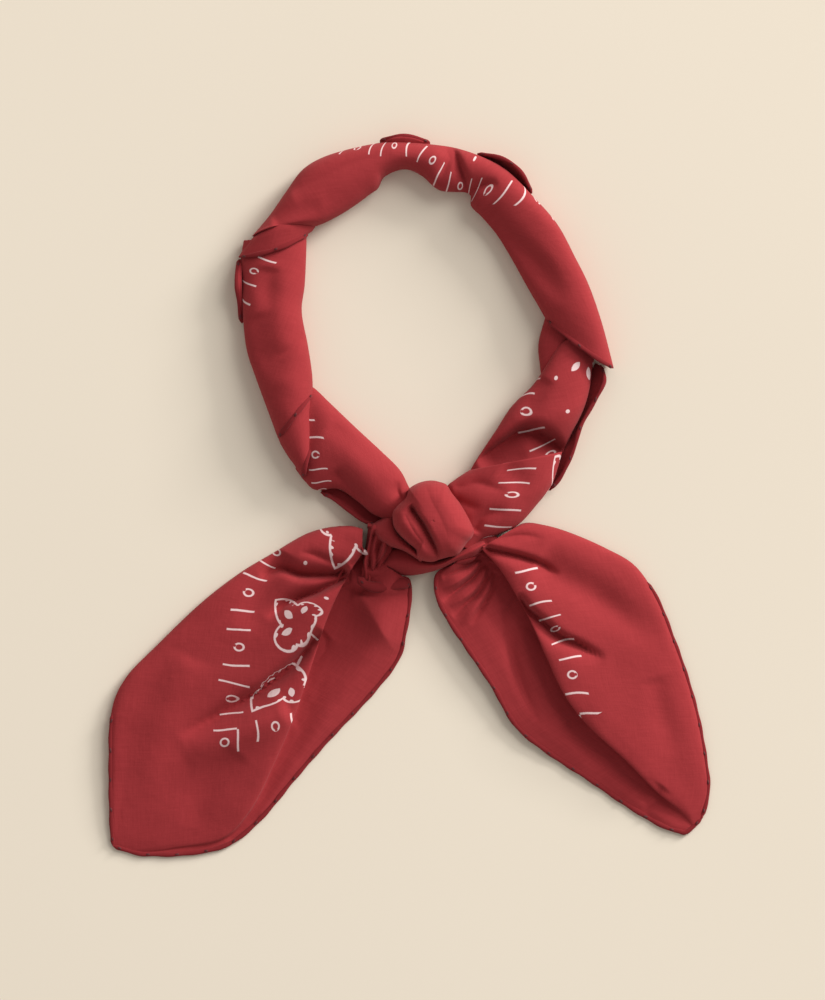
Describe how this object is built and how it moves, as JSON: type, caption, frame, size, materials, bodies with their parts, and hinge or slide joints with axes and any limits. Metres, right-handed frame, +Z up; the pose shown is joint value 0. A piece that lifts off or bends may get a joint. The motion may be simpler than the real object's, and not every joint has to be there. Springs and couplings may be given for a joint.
{
  "type": "bandana",
  "caption": "Square cotton bandana rolled corner to corner, bent into a loop and knotted, with its open corners spread flat below the knot.",
  "frame": {"origin": "centre of the outline seen from above, on the surface that it lies on", "axes": "+Z up from that surface, +Y from the tails past the knot to the top of the loop, +X to the right seen from above"},
  "size_m": [0.2312, 0.2784, 0.0268],
  "materials": {
    "printed_cotton": "matt plain-weave cotton, red with a white print",
    "inner_cotton": "matt plain-weave cotton, plain red"
  },
  "bodies": {
    "root": {"upper_left_roll": "printed_cotton", "upper_left_turn": "printed_cotton", "left_roll": "printed_cotton", "left_turn": "printed_cotton", "lower_left_roll": "printed_cotton", "top_roll": "printed_cotton", "right_roll": "printed_cotton", "right_inner_fold": "inner_cotton", "right_turn": "printed_cotton", "lower_right_roll": "printed_cotton", "knot_left_strand": "printed_cotton", "knot_lower_strand": "printed_cotton", "left_tail_neck": "printed_cotton", "left_edge_layer": "inner_cotton", "top_edge_layer": "inner_cotton", "top_right_edge_layer": "inner_cotton", "right_edge_layer": "inner_cotton", "lower_left_edge_layer": "inner_cotton", "left_tail": "printed_cotton", "right_tail": "printed_cotton", "knot_wrap": "printed_cotton"}
  },
  "joints": []
}
